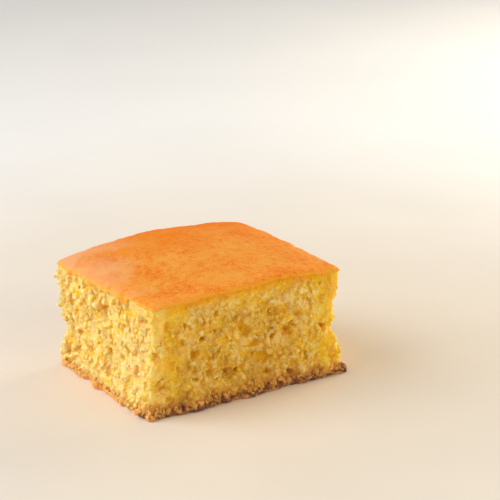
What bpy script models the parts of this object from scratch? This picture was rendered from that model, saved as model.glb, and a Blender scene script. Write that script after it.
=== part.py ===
"""One cut rectangle of cornbread, lying on its bottom crust.

The piece is a single solid. Its top is the gently domed baked crust, its four walls are cut and
torn crumb with hollows in it, and its foot is the rough browned bottom crust, which is flat below.
Frame: metres, +Z up, +X along the longer side, origin on the table under the middle of the piece.
Run it with: blender --background --python part.py
"""

import math

import bmesh
import bpy
import numpy as np

MM = 0.001

# Driving dimensions of the whole piece.
LENGTH = 68.6 * MM  # between the two short cut walls, at half height
WIDTH = 55.2 * MM  # between the two long cut walls, at half height
CORNER_HEIGHT = 34.4 * MM  # from the table to the top crust at a corner
CORNER_RADIUS = 1.6 * MM  # of the four upright edges
CORNER_TURN = 6.5 * MM  # depth of the centre from which the walls' unevenness turns each corner
TOP_EDGE_RADIUS = 1.0 * MM  # rounding where the top crust meets the cut walls
FOOT_EDGE_RADIUS = 0.6 * MM  # rounding where the walls meet the flat underside

# The domed top: how far the crust rises from its corners to the middle of each side.
RISE_NEAR = 1.4 * MM  # along the long side at -Y
RISE_FAR = 3.2 * MM  # along the long side at +Y
RISE_LEFT = -0.4 * MM  # along the short side at -X, which sags a little
RISE_RIGHT = 0.6 * MM  # along the short side at +X
RISE_SKEW = 0.5  # how far the near side's rise leans towards +X
RISE_MIDDLE = 0.8 * MM  # more rise in the middle of the piece

# The cut walls. A positive offset lies outwards.
WAIST_DEPTH = 0.9 * MM  # the walls draw in between the top and bottom crust
FAR_BOW = 1.2 * MM  # the long side at +Y is cut in a shallow outward bow
LIP_REACH = 0.7 * MM  # the bottom crust stands proud of the crumb
LIP_HEIGHT = 2.2 * MM
NODULE_SIZE = 2.6 * MM  # width of the beads along the bottom crust, and how far they stand out
NODULE_REACH = 0.5 * MM
SWELL_SIZE = 13.0 * MM  # width of the slow swellings, and how far they stand out
SWELL_REACH = 0.8 * MM
LUMP_SIZE = 4.6 * MM  # width of the crumb lumps
LUMP_REACH = 0.95 * MM

# How far the foot of each upright edge lies beyond its head, along X. The cuts aren't plumb.
FOOT_SHIFT = {
    "near": -1.9 * MM,  # at -X -Y
    "right": 2.2 * MM,  # at +X -Y
    "far": 1.4 * MM,  # at +X +Y
    "left": 1.9 * MM,  # at -X +Y
}

# The large torn places, in millimetres: how far along the rim from the near corner and how high
# their middle is, their half width and half height, and how deep they go. A negative depth is a lump.
TEARS = {
    "right_edge_hollow": (66.5, 18.0, 7.0, 14.0, 1.3),
    "right_edge_notch": (66.5, 14.7, 3.4, 2.6, 3.0),
    "upper_window": (32.0, 20.5, 2.4, 3.2, 1.7),
    "middle_window": (46.5, 18.0, 2.8, 2.6, 1.6),
    "right_window": (50.5, 22.5, 2.6, 2.2, 1.3),
    "low_slot": (37.5, 12.2, 4.2, 1.9, 1.7),
    "low_window": (48.5, 6.6, 2.4, 1.9, 1.2),
    "foot_hollow": (22.0, 3.6, 6.0, 2.2, 1.4),
    "tall_hole": (213.5, 23.8, 2.2, 4.2, 2.9),
    "left_edge_knob": (187.3, 20.4, 2.6, 2.6, -1.6),
    "left_edge_dip": (187.5, 10.5, 4.0, 6.0, 0.9),
}

# The smaller hollows are scattered over all four walls.
HOLLOWS = 52
HOLLOW_HALF_WIDTH = (1.7 * MM, 3.1 * MM)
HOLLOW_DEPTH = (0.7 * MM, 1.9 * MM)
SCATTER_SEED = 11

# Mesh resolution.
RIM_POINTS = 164
WALL_ROWS = 20
CROWN_RINGS = 6
CROWN_SHARES = 0.93  # the outermost crown ring, as a share of the rim's size

COLOURS = {
    "top_crust": ((0.79, 0.27, 0.055, 1.0), 0.42),
    "crumb": ((0.83, 0.52, 0.10, 1.0), 0.75),
    "bottom_crust": ((0.36, 0.13, 0.035, 1.0), 0.8),
}


def clear_scene():
    """Removes every object of the scene that Blender starts with."""
    for obj in list(bpy.data.objects):
        bpy.data.objects.remove(obj)


def ease(low, high, x):
    """Smooth step from 0 at low to 1 at high."""
    t = np.clip((x - low) / (high - low), 0.0, 1.0)
    return t * t * (3.0 - 2.0 * t)


def lattice_values(i, j, k, seed):
    """A repeatable number from -1 to 1 for each whole-numbered lattice point."""
    mixed = np.full(i.shape, seed, dtype=np.uint32)
    for index in (i, j, k):
        mixed = (mixed ^ index.astype(np.uint32)) * np.uint32(0x9E3779B1)
        mixed = (mixed ^ (mixed >> 15)) * np.uint32(0x85EBCA6B)
        mixed = mixed ^ (mixed >> 13)
    return mixed / 2147483647.5 - 1.0


def soft_noise(points, size, seed):
    """Value noise from -1 to 1: lattice values a size apart, blended with smooth weights."""
    scaled = points / size
    cell = np.floor(scaled).astype(np.int64)
    f = scaled - cell
    w = f * f * f * (f * (f * 6.0 - 15.0) + 10.0)
    total = np.zeros(len(points))
    for corner in np.ndindex(2, 2, 2):
        share = np.ones(len(points))
        for axis, bit in enumerate(corner):
            share = share * (w[:, axis] if bit else 1.0 - w[:, axis])
        at = [cell[:, axis] + bit for axis, bit in enumerate(corner)]
        total += share * lattice_values(*at, seed)
    return total


def rim_knots():
    """The rounded rectangle as knots: distance walked, arc centre, and direction of the normal.

    It starts at the near corner's arc and runs along the long side at -Y, then anticlockwise.
    """
    hx, hy = LENGTH / 2 - CORNER_RADIUS, WIDTH / 2 - CORNER_RADIUS
    arc = CORNER_RADIUS * math.pi / 2
    steps = (2 * hx, arc, 2 * hy, arc, 2 * hx, arc, 2 * hy, arc)
    walked = np.concatenate([[0.0], np.cumsum(steps)])
    centres = [(-hx, -hy), (hx, -hy), (hx, -hy), (hx, hy), (hx, hy), (-hx, hy), (-hx, hy)]
    centres += [(-hx, -hy), (-hx, -hy)]
    turns = np.radians([-90, -90, 0, 0, 90, 90, 180, 180, 270])
    return walked, np.array(centres), turns


def rim(walk):
    """Points of the rounded rectangle at the walked distances, and the ways the wall moves there.

    The wall moves straight out of each side. Near a corner it moves away from a centre set well
    inside, so that a deep hollow at a corner doesn't fold the wall over itself.
    """
    walked, centres, turns = rim_knots()
    middle = np.stack([np.interp(walk, walked, centres[:, axis]) for axis in (0, 1)], axis=1)
    turn = np.interp(walk, walked, turns)
    points = middle + CORNER_RADIUS * np.stack([np.cos(turn), np.sin(turn)], axis=1)
    inner = np.array([LENGTH / 2 - CORNER_TURN, WIDTH / 2 - CORNER_TURN])
    away = points - np.clip(points, -inner, inner)
    return points, away / np.hypot(away[:, 0], away[:, 1])[:, None]


def crown_height(x, y):
    """Height of the top crust over the table: each side's rise, blended across the piece."""
    s, t = 2 * x / LENGTH, 2 * y / WIDTH
    near = RISE_NEAR * (1 + RISE_SKEW * s)
    along = (1 - s * s) * (near * (1 - t) + RISE_FAR * (1 + t)) / 2
    across = (1 - t * t) * (RISE_LEFT * (1 - s) + RISE_RIGHT * (1 + s)) / 2
    middle = RISE_MIDDLE * (1 - s * s) * (1 - t * t)
    flat = np.stack([x, y, np.zeros_like(x)], axis=1)
    sag = 0.25 * MM * soft_noise(flat, SWELL_SIZE, seed=5)
    return CORNER_HEIGHT + along + across + middle + sag


def lean(x, y, z):
    """How far the cuts lean along X: each upright edge's foot shift, shared out between the edges."""
    right, back = ease(-1, 1, 2 * x / LENGTH), ease(-1, 1, 2 * y / WIDTH)
    front_shift = FOOT_SHIFT["near"] * (1 - right) + FOOT_SHIFT["right"] * right
    back_shift = FOOT_SHIFT["left"] * (1 - right) + FOOT_SHIFT["far"] * right
    return (front_shift * (1 - back) + back_shift * back) * (0.5 - z / CORNER_HEIGHT)


def scattered_hollows(whole):
    """Rows of hollows with seeded random places, sizes and depths, laid out as TEARS is."""
    draw = np.random.default_rng(SCATTER_SEED)
    half = draw.uniform(*HOLLOW_HALF_WIDTH, HOLLOWS)
    # One hollow in each equal stretch of the rim keeps them from gathering in one place.
    walk = (np.arange(HOLLOWS) + draw.uniform(0.1, 0.9, HOLLOWS)) * whole / HOLLOWS
    high = draw.uniform(0.10, 0.82, HOLLOWS) * CORNER_HEIGHT
    tall = half * draw.uniform(0.7, 1.5, HOLLOWS)
    return np.stack([walk, high, half, tall, draw.uniform(*HOLLOW_DEPTH, HOLLOWS)], axis=1)


def torn_depth(walk, z, whole):
    """How deep the tears and hollows go: each is a bowl with soft sides and an elliptical mouth."""
    depth = np.zeros(len(walk))
    tears = np.array(list(TEARS.values())) * MM
    for at, high, half, tall, deep in np.concatenate([tears, scattered_hollows(whole)]):
        across = (np.mod(walk - at + whole / 2, whole) - whole / 2) / half
        away = np.hypot(across, (z - high) / tall)
        depth += deep * ease(1.0, 0.25, away)
    return depth


def wall_offset(flat, walk, z, whole):
    """How far the wall lies outside the plain rim, at each point's walk and height."""
    share = z / CORNER_HEIGHT
    points = np.concatenate([flat, z[:, None]], axis=1)
    foot = ease(LIP_HEIGHT, 0.4 * LIP_HEIGHT, z)
    rough = ease(0.98, 0.80, share)
    offset = -WAIST_DEPTH * np.sin(math.pi * np.clip(share, 0, 1)) ** 2
    offset += FAR_BOW * ease(0.7, 1.0, 2 * flat[:, 1] / WIDTH) * (1 - (2 * flat[:, 0] / LENGTH) ** 2)
    offset += foot * (LIP_REACH + NODULE_REACH * soft_noise(points, NODULE_SIZE, seed=3))
    offset += SWELL_REACH * (1 - 0.6 * ease(0.75, 1.0, share)) * soft_noise(points, SWELL_SIZE, seed=1)
    offset += rough * LUMP_REACH * soft_noise(points, LUMP_SIZE, seed=2)
    return offset - torn_depth(walk, z, whole)


def wall_ring(high_share, inset=0.0, below_crown=None):
    """One ring of wall points. high_share is its height between the foot's and the crown's rounding."""
    whole = rim_knots()[0][-1]
    walk = np.arange(RIM_POINTS) * whole / RIM_POINTS
    flat, ways = rim(walk)
    top = crown_height(flat[:, 0], flat[:, 1])
    if below_crown is None:
        z = FOOT_EDGE_RADIUS + high_share * (top - TOP_EDGE_RADIUS - FOOT_EDGE_RADIUS)
    else:
        z = top - below_crown
    moved = flat + ways * (wall_offset(flat, walk, z, whole) - inset)[:, None]
    moved[:, 0] += lean(moved[:, 0], moved[:, 1], z)
    return np.concatenate([moved, z[:, None]], axis=1)


def all_rings():
    """Every ring from the flat underside's edge, up the walls, and in over the crown.

    They are moved together so that the middle of the piece's outer box is over the origin.
    """
    foot = wall_ring(0.0, inset=FOOT_EDGE_RADIUS)
    foot[:, 2] = 0.0
    walls = [wall_ring(row / (WALL_ROWS - 1)) for row in range(WALL_ROWS)]
    shoulder = wall_ring(1.0, inset=0.3 * TOP_EDGE_RADIUS, below_crown=0.3 * TOP_EDGE_RADIUS)
    edge = wall_ring(1.0, inset=TOP_EDGE_RADIUS, below_crown=0.0)
    crown = []
    for ring in range(CROWN_RINGS):
        inner = edge.copy()
        inner[:, :2] *= CROWN_SHARES * (1 - ring / CROWN_RINGS) ** 0.9
        inner[:, 2] = crown_height(inner[:, 0], inner[:, 1])
        crown.append(inner)
    rings = [foot, *walls, shoulder, edge, *crown]
    points = np.concatenate(rings)[:, :2]
    middle = (points.min(axis=0) + points.max(axis=0)) / 2
    for ring in rings:
        ring[:, :2] -= middle
    return rings


def piece_material(name):
    """A Principled material with the colour and roughness of one part of the piece."""
    colour, roughness = COLOURS[name]
    material = bpy.data.materials.new(name)
    material.use_nodes = True
    shader = material.node_tree.nodes["Principled BSDF"]
    shader.inputs["Base Color"].default_value = colour
    shader.inputs["Roughness"].default_value = roughness
    shader.inputs["Metallic"].default_value = 0.0
    material.diffuse_color = colour
    return material


def paint(bm):
    """Gives each face its material: crust on the crown, crust at the foot, crumb between them."""
    names = list(COLOURS)
    for face in bm.faces:
        middle = face.calc_center_median()
        crust_from = crown_height(np.array([middle.x]), np.array([middle.y]))[0] - TOP_EDGE_RADIUS
        if middle.z > crust_from:
            face.material_index = names.index("top_crust")
        elif middle.z < LIP_HEIGHT / 2:
            face.material_index = names.index("bottom_crust")
        else:
            face.material_index = names.index("crumb")


def build_cornbread():
    """Extrudes the underside's edge ring by ring up the walls and over the crown, and caps it."""
    bm = bmesh.new()
    rings = all_rings()
    place = bm.verts.layers.int.new("place")
    for at, point in enumerate(rings[0]):
        bm.verts.new(point)[place] = at
    edges = list(bm.faces.new(bm.verts).edges)
    for ring in rings[1:]:
        pulled = bmesh.ops.extrude_edge_only(bm, edges=edges)["geom"]
        edges = [item for item in pulled if isinstance(item, bmesh.types.BMEdge)]
        for vert in {vert for edge in edges for vert in edge.verts}:
            vert.co = ring[vert[place]]
    crown = bmesh.ops.contextual_create(bm, geom=edges)["faces"]
    bmesh.ops.poke(bm, faces=crown)
    bmesh.ops.recalc_face_normals(bm, faces=bm.faces)
    paint(bm)

    mesh = bpy.data.meshes.new("cornbread")
    bm.to_mesh(mesh)
    bm.free()
    for name in COLOURS:
        mesh.materials.append(piece_material(name))
    mesh.shade_smooth()
    piece = bpy.data.objects.new("cornbread", mesh)
    bpy.context.scene.collection.objects.link(piece)
    return piece


clear_scene()
build_cornbread()
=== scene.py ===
"""Looks of the cornbread piece: torn crumb, top crust, bottom crust and loose grains.

Everything is in metres in the solid's own frame. The main form is the solid's, from the same named
sizes. The walls' crumb, which the solid only suggests, is worked out here at its real grain.
"""

import logging
import math
from collections.abc import Callable
from dataclasses import dataclass
from enum import Enum

import bpy
import numpy as np
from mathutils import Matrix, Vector


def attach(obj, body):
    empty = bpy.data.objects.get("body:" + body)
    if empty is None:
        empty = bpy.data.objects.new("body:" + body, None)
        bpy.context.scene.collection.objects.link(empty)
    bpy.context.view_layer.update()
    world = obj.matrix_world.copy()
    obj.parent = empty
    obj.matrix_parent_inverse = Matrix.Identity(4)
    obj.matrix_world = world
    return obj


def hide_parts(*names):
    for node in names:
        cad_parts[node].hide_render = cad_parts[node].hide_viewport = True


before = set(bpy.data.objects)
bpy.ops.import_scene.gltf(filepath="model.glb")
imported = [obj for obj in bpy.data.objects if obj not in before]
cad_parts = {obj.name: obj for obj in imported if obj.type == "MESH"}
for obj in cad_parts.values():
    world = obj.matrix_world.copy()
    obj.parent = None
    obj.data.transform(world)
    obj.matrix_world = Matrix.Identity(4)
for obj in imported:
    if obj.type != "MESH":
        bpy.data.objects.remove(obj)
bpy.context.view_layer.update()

logging.basicConfig(level=logging.INFO, format="%(message)s")
LOG = logging.getLogger("cornbread")

MM = 0.001
UNDER_TOP_SPAN = 8 * MM  # depth under the crown at which the attribute under_top reaches 1
OVER_FOOT_SPAN = 6 * MM  # height at which the attribute over_foot reaches 1
Array = np.ndarray
Colour = tuple[float, float, float]


class Slot(Enum):
    """Names of the material slots."""

    CRUMB = "crumb"
    TOP_CRUST = "top_crust"
    BOTTOM_CRUST = "bottom_crust"


# ---------------------------------------------------------------- noise and blending


def ease(low: float, high: float, x: Array) -> Array:
    """Smooth step: 0 at low, 1 at high, 3t^2 - 2t^3 between them.

    Args:
        low: where the step starts.
        high: where it ends. It may be below low.
        x: the values to step.

    Returns:
        The stepped values, from 0 to 1.
    """
    t = np.clip((x - low) / (high - low), 0.0, 1.0)
    return t * t * (3.0 - 2.0 * t)


def soft_lower(a: Array, b: Array, reach: float) -> Array:
    """The lower of two fields, with the crease between them rounded over a reach.

    Args:
        a: the first field.
        b: the second field.
        reach: how far apart they may be where the rounding ends.

    Returns:
        Roughly min(a, b): a quarter of the squared overlap over the reach is taken off it.
    """
    overlap = np.maximum(reach - np.abs(a - b), 0.0)
    return np.minimum(a, b) - overlap * overlap / (4.0 * reach)


def lattice_values(i: Array, j: Array, k: Array, seed: int) -> Array:
    """A repeatable number from -1 to 1 for each whole-numbered lattice point.

    Args:
        i: first indices.
        j: second indices.
        k: third indices.
        seed: picks one set of numbers.

    Returns:
        The numbers, each a hash of its three indices.
    """
    mixed = np.full(i.shape, seed, dtype=np.uint32)
    for index in (i, j, k):
        mixed = (mixed ^ index.astype(np.uint32)) * np.uint32(0x9E3779B1)
        mixed = (mixed ^ (mixed >> 15)) * np.uint32(0x85EBCA6B)
        mixed = mixed ^ (mixed >> 13)
    return mixed / 2147483647.5 - 1.0


def soft_noise(points: Array, size: float, seed: int) -> Array:
    """Value noise from -1 to 1: lattice values a size apart, blended with smooth weights.

    Args:
        points: an (n, 3) array of places.
        size: the lattice's spacing.
        seed: picks one pattern.

    Returns:
        One value for each place.
    """
    scaled = points / size
    cell = np.floor(scaled).astype(np.int64)
    f = scaled - cell
    w = f * f * f * (f * (f * 6.0 - 15.0) + 10.0)
    total = np.zeros(len(points))
    for corner in np.ndindex(2, 2, 2):
        share = np.ones(len(points))
        for axis, bit in enumerate(corner):
            share = share * (w[:, axis] if bit else 1.0 - w[:, axis])
        at = [cell[:, axis] + bit for axis, bit in enumerate(corner)]
        total += share * lattice_values(*at, seed)
    return total


def noise_vectors(points: Array, size: float, seed: int) -> Array:
    """Three soft noises side by side, as an (n, 3) array of vectors."""
    return np.stack([soft_noise(points, size, seed + step) for step in range(3)], axis=1)


def ball_field(
    points: Array,
    cell: float,
    radii: tuple[float, float],
    seed: int,
    fit: Callable[[Array, Array], Array],
) -> Array:
    """Distance to the nearest of many balls, one at a random place in each cell of a grid.

    Args:
        points: an (n, 3) array of places.
        cell: the grid's spacing.
        radii: the least and greatest radius. A radius below zero stands for no ball.
        seed: picks the places and radii.
        fit: takes the balls' middles and radii and returns the radii to use.

    Returns:
        Distance to the nearest ball's surface: below zero inside a ball.
    """
    base = np.floor(points / cell).astype(np.int32)
    low = base.min(axis=0) - 1
    base -= low
    shape = tuple(base.max(axis=0) + 2)
    draw = np.random.default_rng(seed)
    grid = np.stack(np.meshgrid(*[np.arange(n) for n in shape], indexing="ij"), axis=-1) + low
    centres = ((grid + draw.uniform(0.12, 0.88, grid.shape)) * cell).reshape(-1, 3)
    sizes = fit(centres, draw.uniform(*radii, shape).ravel()).astype(np.float32)
    centres = centres.astype(np.float32)
    nearest = np.full(len(points), 1.0, dtype=np.float32)
    places = points.astype(np.float32)
    for step in np.ndindex(3, 3, 3):
        at = base + np.array(step, dtype=np.int32) - 1
        index = (at[:, 0] * shape[1] + at[:, 1]) * shape[2] + at[:, 2]
        away = places - centres[index]
        gap = np.sqrt((away * away).sum(axis=1)) - sizes[index]
        np.minimum(nearest, gap, out=nearest)
    return nearest


# ---------------------------------------------------------------- the main form


@dataclass(frozen=True)
class Form:
    """The main form of the piece, from the solid's own sizes.

    It stands in its own coordinates, whose middle is between the cut walls; middle() gives the step
    from them to the frame's.
    """

    length: float = 68.6 * MM
    width: float = 55.2 * MM
    corner_height: float = 34.4 * MM
    corner_radius: float = 1.6 * MM
    corner_turn: float = 6.5 * MM
    top_edge_radius: float = 1.0 * MM
    foot_edge_radius: float = 0.6 * MM
    rim_points: int = 164
    wall_rows: int = 20
    bend_reach: float = 2.8 * MM
    bend_drop: float = 1.3 * MM
    bend_wave: float = 0.45
    bend_wave_size: float = 5.0 * MM
    sag_reach: float = 0.25 * MM
    rise_near: float = 1.4 * MM
    rise_far: float = 3.2 * MM
    rise_left: float = -0.4 * MM
    rise_right: float = 0.6 * MM
    rise_skew: float = 0.5
    rise_middle: float = 0.8 * MM
    waist_depth: float = 0.9 * MM
    far_bow: float = 1.2 * MM
    lip_reach: float = 0.7 * MM
    lip_height: float = 2.2 * MM
    nodule_size: float = 2.6 * MM
    nodule_reach: float = 0.5 * MM
    swell_size: float = 13.0 * MM
    swell_reach: float = 0.8 * MM
    lump_size: float = 4.6 * MM
    lump_reach: float = 0.95 * MM
    foot_shift: tuple[float, float, float, float] = (-1.9 * MM, 2.2 * MM, 1.4 * MM, 1.9 * MM)
    hollows: int = 52
    hollow_half_width: tuple[float, float] = (1.7 * MM, 3.1 * MM)
    hollow_depth: tuple[float, float] = (0.7 * MM, 1.9 * MM)
    scatter_seed: int = 11
    # Torn places: along the rim, height, half width, half height and depth, in millimetres.
    tears: tuple[tuple[float, ...], ...] = (
        (66.5, 18.0, 7.0, 14.0, 1.3),  # hollow of the upright edge at +X -Y
        (66.5, 14.7, 3.4, 2.6, 3.0),  # notch in it
        (32.0, 20.5, 2.4, 3.2, 1.7),
        (46.5, 18.0, 2.8, 2.6, 1.6),
        (50.5, 22.5, 2.6, 2.2, 1.3),
        (37.5, 12.2, 4.2, 1.9, 1.7),
        (48.5, 6.6, 2.4, 1.9, 1.2),
        (22.0, 3.6, 6.0, 2.2, 1.4),  # undercut over the bottom crust
        (213.5, 23.8, 2.2, 4.2, 2.9),  # tall hole in the short wall at -X
        (187.3, 20.4, 2.6, 2.6, -1.6),  # knob on the upright edge at -X +Y
        (187.5, 10.5, 4.0, 6.0, 0.9),
    )

    def rim_knots(self) -> tuple[Array, Array, Array]:
        """The rounded rectangle as knots, anticlockwise from the start of the long side at -Y.

        Returns:
            The distances walked, the corner arcs' centres, and the directions of the normal.
        """
        hx, hy = self.length / 2 - self.corner_radius, self.width / 2 - self.corner_radius
        arc = self.corner_radius * math.pi / 2
        steps = (2 * hx, arc, 2 * hy, arc, 2 * hx, arc, 2 * hy, arc)
        walked = np.concatenate([[0.0], np.cumsum(steps)])
        centres = [(-hx, -hy), (hx, -hy), (hx, -hy), (hx, hy), (hx, hy), (-hx, hy), (-hx, hy)]
        centres += [(-hx, -hy), (-hx, -hy)]
        turns = np.radians([-90, -90, 0, 0, 90, 90, 180, 180, 270])
        return walked, np.array(centres), turns

    def whole(self) -> float:
        """Length of the way round the rim."""
        return float(self.rim_knots()[0][-1])

    def inner_box(self) -> Array:
        """Half sizes of the box whose corners the walls' unevenness turns about."""
        return np.array([self.length / 2 - self.corner_turn, self.width / 2 - self.corner_turn])

    def rim(self, walk: Array) -> tuple[Array, Array]:
        """Points of the rounded rectangle, and the ways the wall moves there.

        A point is its arc's centre plus the corner radius along the normal. The wall moves away
        from the nearest point of the inner box.

        Args:
            walk: distances along the rim.

        Returns:
            The (n, 2) points and the (n, 2) unit ways.
        """
        walked, centres, turns = self.rim_knots()
        walk = np.mod(walk, walked[-1])
        middle = np.stack([np.interp(walk, walked, centres[:, axis]) for axis in (0, 1)], axis=1)
        turn = np.interp(walk, walked, turns)
        points = middle + self.corner_radius * np.stack([np.cos(turn), np.sin(turn)], axis=1)
        inner = self.inner_box()
        away = points - np.clip(points, -inner, inner)
        return points, away / np.hypot(away[:, 0], away[:, 1])[:, None]

    def walk_and_gap(self, x: Array, y: Array) -> tuple[Array, Array]:
        """Where on the rim a point belongs and how far out from it the point is.

        This is the inverse of moving out from the rim. A ray from the nearest point of the inner
        box through the point meets the rim either on a straight side or on the corner's arc; the
        arc's case solves the ray and the circle.

        Args:
            x: first coordinates.
            y: second coordinates.

        Returns:
            The distances along the rim, and the gaps from it along the ray, below zero inside.
        """
        inner = self.inner_box()
        dx, dy = x - np.clip(x, -inner[0], inner[0]), y - np.clip(y, -inner[1], inner[1])
        reach = np.hypot(dx, dy)
        safe = np.maximum(reach, 1e-9)
        c, s = np.abs(dx) / safe, np.abs(dy) / safe
        side = self.corner_turn / np.maximum(np.maximum(c, s), 1e-6)
        core = self.corner_turn - self.corner_radius
        along = core * (c + s)
        arc = along + np.sqrt(np.maximum(along**2 - 2 * core**2 + self.corner_radius**2, 0.0))
        on_arc = np.minimum(c, s) * side > core
        to_rim = np.where(on_arc, arc, side)
        rim_x = np.clip(x, -inner[0], inner[0]) + np.where(reach > 0, dx / safe, 0) * to_rim
        rim_y = np.clip(y, -inner[1], inner[1]) + np.where(reach > 0, dy / safe, 0) * to_rim
        walk = self._walk_of(rim_x, rim_y)
        deep = reach <= 1e-9
        return walk, np.where(deep, -self.corner_turn, reach - to_rim)

    def _walk_of(self, x: Array, y: Array) -> Array:
        """Distance along the rim of points that lie on it.

        Args:
            x: first coordinates.
            y: second coordinates.

        Returns:
            Knot distances of the side or arc that each point is on, plus the way along it.
        """
        walked = self.rim_knots()[0]
        hx, hy = self.length / 2 - self.corner_radius, self.width / 2 - self.corner_radius
        ax, ay = np.maximum(np.abs(x) - hx, 0), np.maximum(np.abs(y) - hy, 0)
        turn = np.arctan2(ay, ax) * self.corner_radius
        quarter = self.corner_radius * math.pi / 2
        right, back = x > 0, y > 0
        in_x, in_y = np.abs(x) < hx, np.abs(y) < hy
        return np.select(
            [
                in_x & ~back,
                right & in_y,
                in_x & back,
                ~right & in_y,
                right & ~back,
                right & back,
                ~right & back,
            ],
            [
                x + hx,
                walked[2] + y + hy,
                walked[4] + hx - x,
                walked[6] + hy - y,
                walked[1] + quarter - turn,
                walked[3] + turn,
                walked[5] + quarter - turn,
            ],
            default=walked[7] + turn,
        )

    def crown_height(self, x: Array, y: Array) -> Array:
        """Height of the top crust: each side's rise times (1 - s^2), blended across the piece.

        Args:
            x: first coordinates.
            y: second coordinates.

        Returns:
            Heights over the table.
        """
        s, t = 2 * x / self.length, 2 * y / self.width
        near = self.rise_near * (1 + self.rise_skew * s)
        along = (1 - s * s) * (near * (1 - t) + self.rise_far * (1 + t)) / 2
        across = (1 - t * t) * (self.rise_left * (1 - s) + self.rise_right * (1 + s)) / 2
        middle = self.rise_middle * (1 - s * s) * (1 - t * t)
        flat = np.stack([x, y, np.zeros_like(x)], axis=-1).reshape(-1, 3)
        sag = self.sag_reach * soft_noise(flat, self.swell_size, seed=5).reshape(x.shape)
        return self.corner_height + along + across + middle + sag

    def rim_bend(self, x: Array, y: Array, gap: Array) -> Array:
        """How far the crown bends down towards its rim: a wavy quarter ellipse.

        Args:
            x: first coordinates.
            y: second coordinates.
            gap: gaps from the rim, below zero inside.

        Returns:
            Drops below the crown.
        """
        flat = np.stack([x, y, np.zeros_like(x)], axis=-1).reshape(-1, 3)
        wave = 1 + self.bend_wave * soft_noise(flat, self.bend_wave_size, seed=6).reshape(x.shape)
        bend = np.clip(1 + gap / self.bend_reach, 0, 1)
        return self.bend_drop * wave * (1 - np.sqrt(1 - 0.96 * bend**2))

    def lean(self, x: Array, y: Array, z: Array) -> Array:
        """How far the cuts lean along X.

        The corners' foot shifts are blended across the piece and taken times a half less the share
        of the height.

        Args:
            x: first coordinates.
            y: second coordinates.
            z: heights.

        Returns:
            Steps along X.
        """
        right, back = ease(-1, 1, 2 * x / self.length), ease(-1, 1, 2 * y / self.width)
        near_shift, right_shift, far_shift, left_shift = self.foot_shift
        front = near_shift * (1 - right) + right_shift * right
        rear = left_shift * (1 - right) + far_shift * right
        return (front * (1 - back) + rear * back) * (0.5 - z / self.corner_height)

    def sum_of_hollows(self, walk: Array, z: Array, hollows: Array) -> Array:
        """How deep a set of hollows goes: each is a smooth step of the distance from its middle.

        Args:
            walk: distances along the rim.
            z: heights.
            hollows: rows of place along the rim, height, half width, half height and depth.

        Returns:
            Depths, above zero inwards.
        """
        whole = self.whole()
        depth = np.zeros(walk.shape)
        for at, high, half, tall, deep in hollows:
            across = (np.mod(walk - at + whole / 2, whole) - whole / 2) / half
            depth += deep * ease(1.0, 0.25, np.hypot(across, (z - high) / tall))
        return depth

    def torn_depth(self, walk: Array, z: Array) -> Array:
        """How deep the solid's own tears and scattered hollows go.

        Args:
            walk: distances along the rim.
            z: heights.

        Returns:
            Depths, above zero inwards.
        """
        whole = self.whole()
        draw = np.random.default_rng(self.scatter_seed)
        half = draw.uniform(*self.hollow_half_width, self.hollows)
        at = (np.arange(self.hollows) + draw.uniform(0.1, 0.9, self.hollows)) * whole / self.hollows
        high = draw.uniform(0.10, 0.82, self.hollows) * self.corner_height
        tall = half * draw.uniform(0.7, 1.5, self.hollows)
        deep = draw.uniform(*self.hollow_depth, self.hollows)
        scattered = np.stack([at, high, half, tall, deep], axis=1)
        return self.sum_of_hollows(walk, z, np.concatenate([np.array(self.tears) * MM, scattered]))

    def wall_offset(self, walk: Array, z: Array) -> Array:
        """How far the wall lies outside the plain rim.

        It is the sum of the waist, the bow, the foot lip, the swellings and the lumps, less the
        tears.

        Args:
            walk: distances along the rim.
            z: heights.

        Returns:
            Offsets, above zero outwards.
        """
        flat, _ = self.rim(walk)
        share = z / self.corner_height
        points = np.concatenate([flat, z[:, None]], axis=1)
        foot = ease(self.lip_height, 0.4 * self.lip_height, z)
        rough = ease(0.98, 0.80, share)
        offset = -self.waist_depth * np.sin(math.pi * np.clip(share, 0, 1)) ** 2
        bow = 1 - (2 * flat[:, 0] / self.length) ** 2
        offset += self.far_bow * ease(0.7, 1.0, 2 * flat[:, 1] / self.width) * bow
        nodules = self.nodule_reach * soft_noise(points, self.nodule_size, 3)
        offset += foot * (self.lip_reach + nodules)
        swell = self.swell_reach * (1 - 0.6 * ease(0.75, 1.0, share))
        offset += swell * soft_noise(points, self.swell_size, seed=1)
        offset += rough * self.lump_reach * soft_noise(points, self.lump_size, seed=2)
        return offset - self.torn_depth(walk, z)

    def wall_points(self, walk: Array, z: Array, inset: Array) -> Array:
        """Points of the wall, drawn in by an inset: rim plus way times offset, then leaned.

        Args:
            walk: distances along the rim.
            z: heights.
            inset: how far inside the wall each point lies.

        Returns:
            The (n, 3) points in the form's own coordinates.
        """
        flat, ways = self.rim(walk)
        moved = flat + ways * (self.wall_offset(walk, z) - inset)[:, None]
        moved[:, 0] += self.lean(moved[:, 0], moved[:, 1], z)
        return np.concatenate([moved, z[:, None]], axis=1)

    def middle(self) -> Array:
        """The step from the frame's coordinates to the form's, which centres the solid's outer box.

        Returns:
            An (x, y) pair: the middle of the solid's own rings.
        """
        walk = np.arange(self.rim_points) * self.whole() / self.rim_points
        flat, _ = self.rim(walk)
        top = self.crown_height(flat[:, 0], flat[:, 1])
        foot = self.foot_edge_radius
        rings = []
        for row in range(self.wall_rows):
            z = foot + row / (self.wall_rows - 1) * (top - self.top_edge_radius - foot)
            rings.append(self.wall_points(walk, z, np.zeros_like(z)))
        points = np.concatenate(rings)[:, :2]
        return (points.min(axis=0) + points.max(axis=0)) / 2


# ---------------------------------------------------------------- level surfaces


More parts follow.
